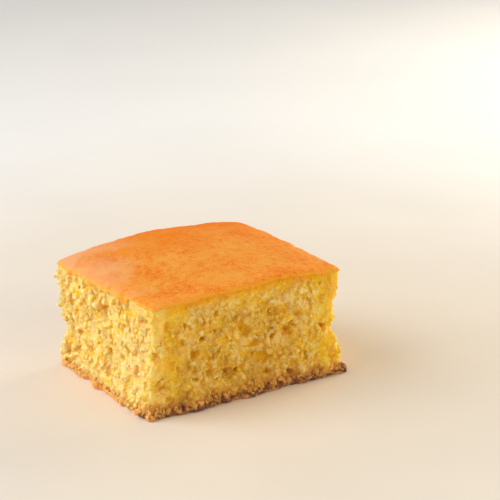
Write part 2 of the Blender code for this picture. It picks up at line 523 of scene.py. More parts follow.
@dataclass
class Field:
    """A number at each point of an even grid: below zero inside the piece, above zero outside."""

    low: Array
    spacing: float
    values: Array

    @classmethod
    def over(cls, low: Array, high: Array, spacing: float) -> "Field":
        """An empty field over a box.

        Args:
            low: the box's lowest corner.
            high: its highest corner.
            spacing: between grid points.

        Returns:
            The field, filled with ones.
        """
        shape = tuple(int(n) for n in np.ceil((high - low) / spacing) + 1)
        return cls(low, spacing, np.ones(shape, dtype=np.float32))

    def coordinates(self) -> tuple[Array, Array, Array]:
        """The grid points' coordinates, as three arrays that broadcast to the grid's shape."""
        counts = enumerate(self.values.shape)
        steps = [self.low[axis] + self.spacing * np.arange(n) for axis, n in counts]
        return steps[0][:, None, None], steps[1][None, :, None], steps[2][None, None, :]

    def at(self, points: Array, values: Array) -> Array:
        """Values of a grid array at any points, blended from the eight grid points around each.

        Args:
            points: an (n, 3) array.
            values: an array of the grid's shape.

        Returns:
            One value for each point.
        """
        scaled = (points - self.low) / self.spacing
        shape = np.array(self.values.shape)
        cell = np.clip(np.floor(scaled).astype(np.int64), 0, shape - 2)
        f = np.clip(scaled - cell, 0.0, 1.0)
        total = np.zeros(len(points))
        for corner in np.ndindex(2, 2, 2):
            shares = [f[:, a] if bit else 1 - f[:, a] for a, bit in enumerate(corner)]
            share = np.prod(shares, axis=0)
            total += share * values[tuple(cell[:, a] + bit for a, bit in enumerate(corner))]
        return total

    def drop_loose_parts(self, core: Array, outside: Array) -> None:
        """Turns bits that don't join the core into air, and closed pockets into crumb.

        Args:
            core: grid points that are surely inside.
            outside: grid points that are surely outside.
        """
        solid = self.values < 0
        joined = spread(core & solid, solid)
        self.values[solid & ~joined] *= -1
        air = ~(self.values < 0)
        open_air = spread(outside & air, air)
        self.values[air & ~open_air] *= -1

    def crowding(self, reach: float) -> Array:
        """How full the space near each grid point is: the solid's share of a soft box around it.

        Args:
            reach: half the box's size.

        Returns:
            Shares from 0 to 1, from two running means along each axis.
        """
        share = (self.values < 0).astype(np.float32)
        half = max(1, round(reach / self.spacing / 1.4))
        for axis in (0, 1, 2, 0, 1, 2):
            share = running_mean(share, half, axis)
        return share

    def surface(self) -> tuple[Array, Array]:
        """The closed surface where the field is zero.

        Each grid cell that the surface passes through gets one point, the mean of where the field
        crosses zero on the cell's edges. Each crossed grid edge gets a face through the points of
        the four cells around it.

        Returns:
            The (n, 3) points and the (m, 4) faces, which point outwards.
        """
        values = self.values
        shape = np.array(values.shape)
        inside = values < 0
        cells = shape - 1
        total = np.zeros((*cells, 3), dtype=np.float32)
        count = np.zeros(cells, dtype=np.float32)
        crossed = []
        for axis in range(3):
            first = np.take(values, np.arange(shape[axis] - 1), axis=axis)
            second = np.take(values, np.arange(1, shape[axis]), axis=axis)
            cross = (first < 0) != (second < 0)
            at = np.argwhere(cross)
            a, b = first[cross], second[cross]
            share = a / (a - b)
            crossed.append(at)
            place = at.astype(np.float32)
            place[:, axis] += share
            others = [other for other in range(3) if other != axis]
            for one, two in ((0, 0), (0, 1), (1, 0), (1, 1)):
                cell = at.copy()
                cell[:, others[0]] -= one
                cell[:, others[1]] -= two
                fits = ((cell >= 0) & (cell < cells)).all(axis=1)
                flat = np.ravel_multi_index(cell[fits].T, cells)
                size = int(np.prod(cells))
                count += np.bincount(flat, minlength=size).reshape(cells).astype(np.float32)
                for part in range(3):
                    added = np.bincount(flat, weights=place[fits][:, part], minlength=size)
                    total[..., part] += added.reshape(cells)
        used = count > 0
        number = np.full(tuple(cells), -1, dtype=np.int64)
        number[used] = np.arange(int(used.sum()))
        points = total[used] / count[used][:, None] * self.spacing + self.low
        faces = []
        for axis, at in enumerate(crossed):
            one, two = [(axis + 1) % 3, (axis + 2) % 3]
            first, second = at[:, one], at[:, two]
            at = at[(first > 0) & (second > 0) & (first < cells[one]) & (second < cells[two])]
            corners = []
            for back_one, back_two in ((1, 1), (0, 1), (0, 0), (1, 0)):
                cell = at.copy()
                cell[:, one] -= back_one
                cell[:, two] -= back_two
                corners.append(number[tuple(cell.T)])
            quads = np.stack(corners, axis=1)
            starts_inside = inside[tuple(at.T)]
            quads[~starts_inside] = quads[~starts_inside][:, ::-1]
            faces.append(quads)
        return points, np.concatenate(faces)


def running_mean(values: Array, half: int, axis: int) -> Array:
    """Mean over 2 half + 1 neighbours along one axis, from differences of the running sum.

    Args:
        values: the grid array.
        half: neighbours on each side.
        axis: which way.

    Returns:
        An array of the same shape. Beyond its ends the array counts as its last value.
    """
    pad = [(0, 0)] * values.ndim
    pad[axis] = (half + 1, half)
    sums = np.cumsum(np.pad(values, pad, mode="edge"), axis=axis, dtype=np.float32)
    size = 2 * half + 1
    ahead = np.take(sums, np.arange(size, sums.shape[axis]), axis=axis)
    behind = np.take(sums, np.arange(0, sums.shape[axis] - size), axis=axis)
    return (ahead - behind) / size


def spread(seed: Array, allowed: Array) -> Array:
    """Grid points of allowed that join the seed by steps along the grid.

    Args:
        seed: where the spreading starts.
        allowed: where it may go.

    Returns:
        Everything reached, found by growing one step at a time until nothing is added.
    """
    reached = seed.copy()
    size = -1
    while size != int(reached.sum()):
        size = int(reached.sum())
        for _ in range(4):
            grown = reached.copy()
            for axis in range(3):
                ahead, behind = [slice(None)] * 3, [slice(None)] * 3
                ahead[axis], behind[axis] = slice(1, None), slice(None, -1)
                grown[tuple(ahead)] |= reached[tuple(behind)]
                grown[tuple(behind)] |= reached[tuple(ahead)]
            reached = grown & allowed
    return reached


# ---------------------------------------------------------------- meshes


def make_piece(name: str, points: Array, faces: Array) -> bpy.types.Object:
    """A smooth-shaded object from points and equal-sided faces.

    Args:
        name: the piece's name.
        points: an (n, 3) array.
        faces: an (m, k) array of point numbers.

    Returns:
        The object, at the origin.
    """
    mesh = bpy.data.meshes.new(name)
    sides = faces.shape[1]
    mesh.vertices.add(len(points))
    mesh.vertices.foreach_set("co", np.ascontiguousarray(points, dtype=np.float32).ravel())
    mesh.loops.add(faces.size)
    mesh.loops.foreach_set("vertex_index", np.ascontiguousarray(faces, dtype=np.int32).ravel())
    mesh.polygons.add(len(faces))
    mesh.polygons.foreach_set("loop_start", np.arange(len(faces), dtype=np.int32) * sides)
    mesh.update(calc_edges=True)
    mesh.validate()
    mesh.shade_smooth()
    piece = bpy.data.objects.new(name, mesh)
    bpy.context.scene.collection.objects.link(piece)
    return piece


def triangle_count(mesh: bpy.types.Mesh) -> int:
    """Triangles that a mesh's faces make."""
    mesh.calc_loop_triangles()
    return len(mesh.loop_triangles)


def thin_out(piece: bpy.types.Object, triangles: int) -> None:
    """Collapses short edges where the shape is flattest until the piece has few enough triangles.

    Args:
        piece: the object, whose mesh is replaced.
        triangles: how many to keep.
    """
    now = triangle_count(piece.data)
    if now <= triangles:
        return
    thinner = piece.modifiers.new("thin", "DECIMATE")
    thinner.ratio = triangles / now
    graph = bpy.context.evaluated_depsgraph_get()
    mesh = bpy.data.meshes.new_from_object(piece.evaluated_get(graph))
    piece.modifiers.clear()
    old, piece.data = piece.data, mesh
    bpy.data.meshes.remove(old)
    mesh.name = piece.name
    mesh.shade_smooth()


def points_of(mesh: bpy.types.Mesh) -> Array:
    """A mesh's points as an (n, 3) array."""
    flat = np.empty(len(mesh.vertices) * 3, dtype=np.float32)
    mesh.vertices.foreach_get("co", flat)
    return flat.reshape(-1, 3).astype(np.float64)


def normals_of(mesh: bpy.types.Mesh) -> Array:
    """A mesh's point normals as an (n, 3) array."""
    flat = np.empty(len(mesh.vertices) * 3, dtype=np.float32)
    mesh.vertex_normals.foreach_get("vector", flat)
    return flat.reshape(-1, 3).astype(np.float64)


def set_attribute(mesh: bpy.types.Mesh, name: str, values: Array) -> None:
    """Stores one number for each point of a mesh, for its material to read."""
    layer = mesh.attributes.new(name, "FLOAT", "POINT")
    layer.data.foreach_set("value", np.ascontiguousarray(values, dtype=np.float32))


def attribute_of(mesh: bpy.types.Mesh, name: str) -> Array:
    """The number stored under a name for each point of a mesh."""
    values = np.empty(len(mesh.vertices), dtype=np.float32)
    mesh.attributes[name].data.foreach_get("value", values)
    return values


# ---------------------------------------------------------------- materials


class Bench:
    """Lays out the nodes of one material."""

    def __init__(self, name: str) -> None:
        """Starts a material with a Principled shader.

        Args:
            name: the material's name.
        """
        self.material = bpy.data.materials.new(name)
        self.material.use_nodes = True
        self.tree = self.material.node_tree
        self.shader = self.tree.nodes["Principled BSDF"]
        self.coordinates = self.tree.nodes.new("ShaderNodeTexCoord").outputs["Object"]

    def set(self, **values: object) -> None:
        """Sets the shader's own sockets, named with underscores for spaces."""
        for name, value in values.items():
            self.shader.inputs[name.replace("_", " ")].default_value = value

    def link(self, source: bpy.types.NodeSocket, target: bpy.types.NodeSocket) -> None:
        """Joins two sockets."""
        self.tree.links.new(source, target)

    def attribute(self, name: str) -> bpy.types.NodeSocket:
        """The number that a mesh stores for each point under a name."""
        node = self.tree.nodes.new("ShaderNodeAttribute")
        node.attribute_name = name
        return node.outputs["Fac"]

    def place(self, axis: int) -> bpy.types.NodeSocket:
        """The object coordinate along one axis, in metres."""
        node = self.tree.nodes.new("ShaderNodeSeparateXYZ")
        self.link(self.coordinates, node.inputs[0])
        return node.outputs[axis]

    def noise(
        self, size: float, detail: float = 2.0, roughness: float = 0.5
    ) -> bpy.types.NodeSocket:
        """Noise on object coordinates.

        Args:
            size: width of its largest blotches, in metres.
            detail: how many finer layers it has.
            roughness: how strong those are.

        Returns:
            Its value, near 0.5 on average.
        """
        node = self.tree.nodes.new("ShaderNodeTexNoise")
        node.inputs["Scale"].default_value = 1.0 / size
        node.inputs["Detail"].default_value = detail
        node.inputs["Roughness"].default_value = roughness
        self.link(self.coordinates, node.inputs["Vector"])
        return node.outputs["Fac"]

    def cells(self, size: float, smooth: bool = False) -> bpy.types.NodeSocket:
        """Distance to the nearest of scattered points on object coordinates, in cell widths."""
        node = self.tree.nodes.new("ShaderNodeTexVoronoi")
        node.feature = "SMOOTH_F1" if smooth else "F1"
        node.inputs["Scale"].default_value = 1.0 / size
        self.link(self.coordinates, node.inputs["Vector"])
        return node.outputs["Distance"]

    def span(
        self,
        value: bpy.types.NodeSocket,
        old: tuple[float, float],
        new: tuple[float, float] = (0.0, 1.0),
    ) -> bpy.types.NodeSocket:
        """Carries a value smoothly from one range to another, held at its ends.

        Args:
            value: the number.
            old: the range it comes in.
            new: the range it leaves in.

        Returns:
            The new number.
        """
        node = self.tree.nodes.new("ShaderNodeMapRange")
        node.interpolation_type = "SMOOTHSTEP"
        node.inputs["From Min"].default_value, node.inputs["From Max"].default_value = old
        node.inputs["To Min"].default_value, node.inputs["To Max"].default_value = new
        self.link(value, node.inputs["Value"])
        return node.outputs["Result"]

    def math(
        self, operation: str, a: bpy.types.NodeSocket | float, b: bpy.types.NodeSocket | float
    ) -> bpy.types.NodeSocket:
        """One sum on two numbers or sockets. Its result isn't held to any range.

        Args:
            operation: the Math node's operation.
            a: the first operand.
            b: the second operand.

        Returns:
            The result.
        """
        node = self.tree.nodes.new("ShaderNodeMath")
        node.operation = operation
        for socket, value in zip(node.inputs, (a, b)):
            if isinstance(value, bpy.types.NodeSocket):
                self.link(value, socket)
            else:
                socket.default_value = value
        return node.outputs["Value"]

    def ramp(
        self, value: bpy.types.NodeSocket, stops: tuple[tuple[float, Colour], ...]
    ) -> bpy.types.NodeSocket:
        """Colours along a value.

        Args:
            value: the number from 0 to 1.
            stops: places and linear colours, in rising order.

        Returns:
            The colour.
        """
        node = self.tree.nodes.new("ShaderNodeValToRGB")
        elements = node.color_ramp.elements
        while len(elements) < len(stops):
            elements.new(0.5)
        for element, (place, colour) in zip(elements, stops):
            element.position = place
            element.color = (*colour, 1.0)
        self.link(value, node.inputs["Fac"])
        return node.outputs["Color"]

    def mix(
        self,
        share: bpy.types.NodeSocket,
        first: bpy.types.NodeSocket,
        second: bpy.types.NodeSocket | Colour,
    ) -> bpy.types.NodeSocket:
        """Blends two colours.

        Args:
            share: how much of the second shows.
            first: the first colour.
            second: the second colour, or its socket.

        Returns:
            The blend.
        """
        node = self.tree.nodes.new("ShaderNodeMix")
        node.data_type = "RGBA"
        self.link(share, node.inputs["Factor"])
        self.link(first, node.inputs[6])
        if isinstance(second, bpy.types.NodeSocket):
            self.link(second, node.inputs[7])
        else:
            node.inputs[7].default_value = (*second, 1.0)
        return node.outputs[2]

    def bump(
        self,
        height: bpy.types.NodeSocket,
        distance: float,
        strength: float,
        under: bpy.types.NodeSocket | None = None,
    ) -> bpy.types.NodeSocket:
        """Relief from a height.

        Args:
            height: the relief, from 0 to 1.
            distance: how high 1 stands, in metres.
            strength: how much of it shows.
            under: the normal of a coarser relief below this one, if any.

        Returns:
            The new normal.
        """
        node = self.tree.nodes.new("ShaderNodeBump")
        node.inputs["Distance"].default_value = distance
        node.inputs["Strength"].default_value = strength
        self.link(height, node.inputs["Height"])
        if under is not None:
            self.link(under, node.inputs["Normal"])
        return node.outputs["Normal"]

    def finish(
        self,
        colour: bpy.types.NodeSocket,
        roughness: bpy.types.NodeSocket,
        normal: bpy.types.NodeSocket,
    ) -> bpy.types.Material:
        """Joins colour, roughness and relief to the shader.

        Args:
            colour: the base colour.
            roughness: the roughness.
            normal: the normal.

        Returns:
            The finished material.
        """
        self.link(colour, self.shader.inputs["Base Color"])
        self.link(roughness, self.shader.inputs["Roughness"])
        self.link(normal, self.shader.inputs["Normal"])
        return self.material


@dataclass(frozen=True)
class WallTints:
    """Painted light on the crumb: ochre painted shade low at -Y, painted glow at its ends, cream
    painted highlights at -X.
    """

    ochre: Colour = (0.72, 0.415, 0.048)
    glow_yellow: Colour = (0.995, 0.66, 0.050)
    cream: Colour = (0.93, 0.67, 0.26)

    @staticmethod
    def near_side(bench: "Bench") -> bpy.types.NodeSocket:
        """One on the -Y wall and zero inside."""
        return bench.span(bench.place(1), (-21 * MM, -25 * MM))

    def over(self, bench: "Bench", colour: bpy.types.NodeSocket) -> bpy.types.NodeSocket:
        """Lays the painted shade, glow and highlights over a colour.

        Args:
            bench: where the nodes go.
            colour: the colour under it.

        Returns:
            The tinted colour.
        """
        near_side = self.near_side(bench)
        # Painted shade: ochre over the middle of the -Y wall, stronger low down, on the wall turned
        # from the window light.
        shade = bench.span(bench.place(0), (24 * MM, 6 * MM))
        low = bench.span(bench.place(2), (34 * MM, 6 * MM), (0.10, 0.75))
        shade = bench.math("MULTIPLY", shade, low)
        cloudy = bench.span(bench.noise(7.0 * MM, 3.0, 0.6), (0.35, 0.65), (0.2, 1.0))
        shade = bench.math("MULTIPLY", bench.math("MULTIPLY", shade, cloudy), near_side)
        colour = bench.mix(shade, colour, self.ochre)
        # Painted glow: the -Y wall's ends made brighter and yellower, as if lit through the crumb
        # from the sides.
        out = bench.math("ABSOLUTE", bench.place(0), 0.0)
        ends = bench.span(out, (20 * MM, 31 * MM), (0, 0.62))
        colour = bench.mix(bench.math("MULTIPLY", ends, near_side), colour, self.glow_yellow)
        # Painted highlight: cream patches only on the -X wall, which faces the window light.
        highlight_patches = bench.span(bench.noise(2.6 * MM, 3.0, 0.6), (0.42, 0.58), (0.05, 0.65))
        painted_highlight = bench.math("MULTIPLY", highlight_patches, bench.span(bench.place(0), (-27 * MM, -31 * MM)))
        return bench.mix(painted_highlight, colour, self.cream)


@dataclass(frozen=True)
class CrumbFinish:
    """Moist yellow crumb: pale proud grains as painted highlight, golden middle, amber hollows as
    painted shade, orange under the crust.
    """

    deep: Colour = (0.70, 0.31, 0.030)
    hollow: Colour = (0.86, 0.45, 0.030)
    middle: Colour = (0.94, 0.58, 0.034)
    proud: Colour = (0.98, 0.74, 0.32)
    # Painted shade colour for the dug hollows.
    window: Colour = (0.56, 0.28, 0.036)
    dense: Colour = (0.94, 0.52, 0.022)
    under_crust: Colour = (0.98, 0.38, 0.006)
    toasted: Colour = (0.66, 0.32, 0.080)

    def material(self) -> bpy.types.Material:
        """Colour by how crowded a point is, as painted shade, then hollows, tight crumb, crust,
        walls and foot.

        Returns:
            The material. It reads the attributes crowding, under_top, over_foot, hollow, tight.
        """
        bench = Bench("crumb")
        # Painted shade and highlight: crowded places, crevices and hollows, go amber to brown; open
        # proud points go pale cream.
        crowded = bench.attribute("crowding")
        drift = bench.span(bench.noise(6.0 * MM, 2.0), (0.3, 0.7), (-0.10, 0.10))
        fine = bench.span(bench.noise(1.1 * MM, 3.0, 0.7), (0.3, 0.7), (-0.19, 0.19))
        value = bench.math("ADD", bench.math("ADD", crowded, drift), fine)
        colour = bench.ramp(
            value,
            ((0.24, self.proud), (0.44, self.middle), (0.70, self.hollow), (0.92, self.deep)),
        )
        ragged = bench.span(bench.noise(2.6 * MM, 3.0), (0.25, 0.75), (-0.25, 0.25))
        # Painted shade: the darker window colour inside the wall's dug hollows.
        hollow = bench.math("ADD", bench.attribute("hollow"), ragged)
        colour = bench.mix(bench.span(hollow, (0.25, 1.0), (0, 0.80)), colour, self.window)
        tight = bench.math("ADD", bench.attribute("tight"), ragged)
        colour = bench.mix(bench.span(tight, (0.15, 0.65), (0, 0.9)), colour, self.dense)
        uneven = bench.math("MULTIPLY", ragged, 0.5)
        near_top = bench.math("ADD", bench.attribute("under_top"), uneven)
        away = bench.span(bench.place(0), (-35 * MM, -26 * MM), (0.4, 0.95))
        near_top = bench.math("MULTIPLY", bench.span(near_top, (0.60, 0.16)), away)
        colour = bench.mix(near_top, colour, self.under_crust)
        colour = WallTints().over(bench, colour)
        # Toasted brown near the foot is the crumb's own browning; its higher reach on the -Y wall
        # is painted shade.
        lifted = bench.math("MULTIPLY", WallTints.near_side(bench), -0.40)
        lifted = bench.math("ADD", lifted, ragged)
        near_foot = bench.math("ADD", bench.attribute("over_foot"), lifted)
        colour = bench.mix(bench.span(near_foot, (0.66, 0.0)), colour, self.toasted)
        roughness = bench.span(bench.noise(0.7 * MM, 2.0), (0.35, 0.65), (0.42, 0.72))
        lumps = bench.bump(bench.noise(0.9 * MM, 3.0, 0.65), 0.36 * MM, 0.7)
        grain = bench.bump(bench.cells(0.70 * MM, smooth=True), -0.20 * MM, 0.6, lumps)
        bench.set(
            Subsurface_Weight=0.85,
            Subsurface_Radius=(1.0, 0.55, 0.12),
            Subsurface_Scale=3.6 * MM,
            Specular_IOR_Level=0.05,
        )
        return bench.finish(colour, roughness, grain)


@dataclass(frozen=True)
class GrainFinish:
    """Loose grains of crumb, each a little paler or deeper than its neighbours."""

    pale: Colour = (0.98, 0.70, 0.20)
    golden: Colour = (0.93, 0.55, 0.055)
    under_crust: Colour = (0.92, 0.42, 0.025)
    toasted: Colour = (0.70, 0.30, 0.040)

    def material(self) -> bpy.types.Material:
        """Colour by each grain's own tint. It reads the attributes tint, under_top, over_foot."""
        bench = Bench("crumb_grain")
        fine = bench.span(bench.noise(0.5 * MM, 2.0), (0.3, 0.7), (-0.15, 0.15))
        value = bench.math("ADD", bench.attribute("tint"), fine)
        colour = bench.ramp(value, ((0.05, self.golden), (0.95, self.pale)))
        # The same painted shade, glow and highlights as on the crumb's walls.
        colour = WallTints().over(bench, colour)
        near_top = bench.span(bench.attribute("under_top"), (0.45, 0.05), (0, 0.9))
        colour = bench.mix(near_top, colour, self.under_crust)
        near_foot = bench.span(bench.attribute("over_foot"), (0.8, 0.3), (0, 0.8))
        colour = bench.mix(near_foot, colour, self.toasted)
        roughness = bench.span(bench.noise(0.6 * MM, 2.0), (0.35, 0.65), (0.4, 0.65))
        normal = bench.bump(bench.noise(0.3 * MM, 2.0), 0.10 * MM, 0.6)
        bench.set(Specular_IOR_Level=0.10)
        return bench.finish(colour, roughness, normal)


@dataclass(frozen=True)
class TopCrustFinish:
    """Thin smooth baked crust: orange, mottled darker, finely speckled, with a soft sheen, partly
    painted as paler colour at -X +Y.
    """

    light: Colour = (0.98, 0.385, 0.062)
    body: Colour = (0.97, 0.285, 0.025)
    dark: Colour = (0.86, 0.165, 0.008)
    spot: Colour = (0.45, 0.085, 0.010)
    edge: Colour = (0.95, 0.40, 0.030)
    flake: Colour = (0.99, 0.62, 0.22)
    # Painted sheen colour.
    pale: Colour = (0.98, 0.46, 0.20)
    deep: Colour = (0.93, 0.21, 0.002)

    def material(self) -> bpy.types.Material:
        """Blotches of three sizes over the body colour, with a painted sheen paler at -X +Y, and
        deeper at +Y.

        Returns:
            The material. It reads the attribute edge.
        """
        bench = Bench("top_crust")
        blotch = bench.noise(17.0 * MM, 3.0, 0.55)
        mottle = bench.noise(2.0 * MM, 3.0, 0.65)
        speck = bench.noise(0.55 * MM, 2.0, 0.6)
        value = bench.math("MULTIPLY", blotch, 0.30)
        value = bench.math("ADD", value, bench.math("MULTIPLY", mottle, 0.35))
        value = bench.math("ADD", value, bench.math("MULTIPLY", speck, 0.35))
        colour = bench.ramp(value, ((0.40, self.dark), (0.48, self.body), (0.56, self.light)))
        # Painted sheen: paler, pinker colour towards the -X +Y edge, where the window light gleams
        # on the crust.
        waver = bench.span(bench.noise(11.0 * MM, 2.0), (0.3, 0.7), (-7 * MM, 7 * MM))
        across = bench.math("ADD", bench.place(0), bench.math("MULTIPLY", bench.place(1), -0.5))
        left = bench.span(bench.math("ADD", across, waver), (-20 * MM, -46 * MM), (0.0, 0.85))
        colour = bench.mix(left, colour, self.pale)
        far = bench.span(bench.math("ADD", bench.place(1), waver), (2 * MM, 30 * MM), (0.0, 0.85))
        far = bench.math("MULTIPLY", far, bench.span(bench.place(0), (-30 * MM, -8 * MM)))
        colour = bench.mix(far, colour, self.deep)
        dots = bench.span(bench.cells(3.4 * MM), (0.10, 0.03), (0.0, 0.55))
        colour = bench.mix(dots, colour, self.spot)
        ragged = bench.span(bench.noise(1.3 * MM, 3.0, 0.65), (0.3, 0.7), (-0.30, 0.30))
        edge = bench.math("ADD", bench.attribute("edge"), ragged)
        colour = bench.mix(bench.span(edge, (0.45, 1.0), (0.0, 0.85)), colour, self.edge)
        scrap = bench.span(bench.noise(1.1 * MM, 3.0, 0.7), (0.52, 0.66))
        scrap = bench.math("MULTIPLY", scrap, bench.span(edge, (0.70, 1.05), (0.0, 0.50)))
        colour = bench.mix(scrap, colour, self.flake)
        roughness = bench.span(bench.noise(1.4 * MM, 3.0), (0.3, 0.7), (0.42, 0.60))
        wrinkle = bench.bump(bench.noise(1.5 * MM, 3.0, 0.6), 0.16 * MM, 0.45)
        grain = bench.bump(bench.noise(0.45 * MM, 2.0, 0.6), 0.06 * MM, 0.45, wrinkle)
        bench.set(
            Subsurface_Weight=0.25,
            Subsurface_Radius=(1.0, 0.35, 0.08),
            Subsurface_Scale=1.2 * MM,
            Specular_IOR_Level=0.08,
        )
        return bench.finish(colour, roughness, grain)


@dataclass(frozen=True)
class BottomCrustFinish:
    """Rough bottom crust: browned beads, with painted shade between them and below."""

    bright: Colour = (0.90, 0.42, 0.085)
    body: Colour = (0.50, 0.215, 0.062)
    dark: Colour = (0.19, 0.062, 0.040)

    def material(self) -> bpy.types.Material:
        """Colour by how crowded a point is, as painted shade, with noise, more painted shade low on
        the -Y side and painted light at -X.

        Returns:
            The material. It reads the attribute crowding.
        """
        bench = Bench("bottom_crust")
        mottle = bench.span(bench.noise(1.8 * MM, 3.0, 0.7), (0.3, 0.7), (-0.42, 0.40))
        # Painted shade: crowded places between and under the beads go dark.
        value = bench.math("ADD", bench.attribute("crowding"), mottle)
        # Painted shade: darker low on the -Y side, turned away from the window light.
        near_side = bench.span(bench.place(1), (-20 * MM, -27 * MM), (0.0, 1.0))
        low = bench.span(bench.place(2), (3.0 * MM, 0.8 * MM), (0.02, 0.44))
        value = bench.math("ADD", value, bench.math("MULTIPLY", near_side, low))
        # Painted light: lighter at -X, the side the window light falls on.
        lighter = bench.span(bench.place(0), (-28 * MM, -34 * MM), (0.0, -0.16))
        value = bench.math("ADD", value, lighter)
        colour = bench.ramp(value, ((0.16, self.bright), (0.44, self.body), (0.76, self.dark)))
        roughness = bench.span(bench.noise(0.9 * MM, 2.0), (0.35, 0.65), (0.45, 0.75))
        lumps = bench.bump(bench.noise(0.9 * MM, 3.0, 0.65), 0.35 * MM, 0.9)
        grain = bench.bump(bench.noise(0.3 * MM, 2.0), 0.10 * MM, 0.6, lumps)
        bench.set(
            Subsurface_Weight=0.15,
            Subsurface_Radius=(1.0, 0.4, 0.15),
            Subsurface_Scale=0.8 * MM,
            Specular_IOR_Level=0.4,
        )
        return bench.finish(colour, roughness, grain)


@dataclass(frozen=True)
class FloorFinish:
    """Pale warm table top, white away from the piece."""

    near: Colour = (0.86, 0.77, 0.66)
    far: Colour = (1.0, 1.0, 1.0)

    def material(self) -> bpy.types.Material:
        """A faint cloudiness over the pale colour, which fades to white with distance."""
        bench = Bench("table")
        cloud = bench.noise(60.0 * MM, 2.0)
        colour = bench.ramp(cloud, ((0.3, self.near), (0.7, tuple(c * 1.03 for c in self.near))))
        away = bench.tree.nodes.new("ShaderNodeVectorMath")
        away.operation = "LENGTH"
        bench.link(bench.coordinates, away.inputs[0])
        colour = bench.mix(bench.span(away.outputs["Value"], (0.06, 0.32)), colour, self.far)
        roughness = bench.span(cloud, (0.3, 0.7), (0.55, 0.65))
        normal = bench.bump(bench.noise(1.0 * MM, 2.0), 0.02 * MM, 0.1)
        return bench.finish(colour, roughness, normal)


# ---------------------------------------------------------------- sub-assemblies


def settle(piece: bpy.types.Object, material: bpy.types.Material) -> None:
    """Dresses a piece, rides it on the root, and hides the solid's own part.

    Args:
        piece: the finished object.
        material: its material.
    """
    piece.data.materials.clear()
    piece.data.materials.append(material)
    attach(piece, "root")
    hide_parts("cornbread")
    LOG.info("%s: %d triangles", piece.name, triangle_count(piece.data))


@dataclass(frozen=True)
class Ground:
    """What the form says at each grid point."""

    grid: Field
    gap: Array  # from the torn wall, below zero inside
    under: Array  # depth below the crown
    hollow: Array  # 1 in the middle of a hollow, 0 outside it
    tight: Array  # 0 where the crumb is fully open, towards 1 where it is dense and smooth


@dataclass(frozen=True)
class Bed:
    """A bed of balls of one size, packed just under the torn wall."""

    cell: float
    radii: tuple[float, float]
    sink: float  # least depth of a ball's middle under the wall, as a share of its radius
    seed: int


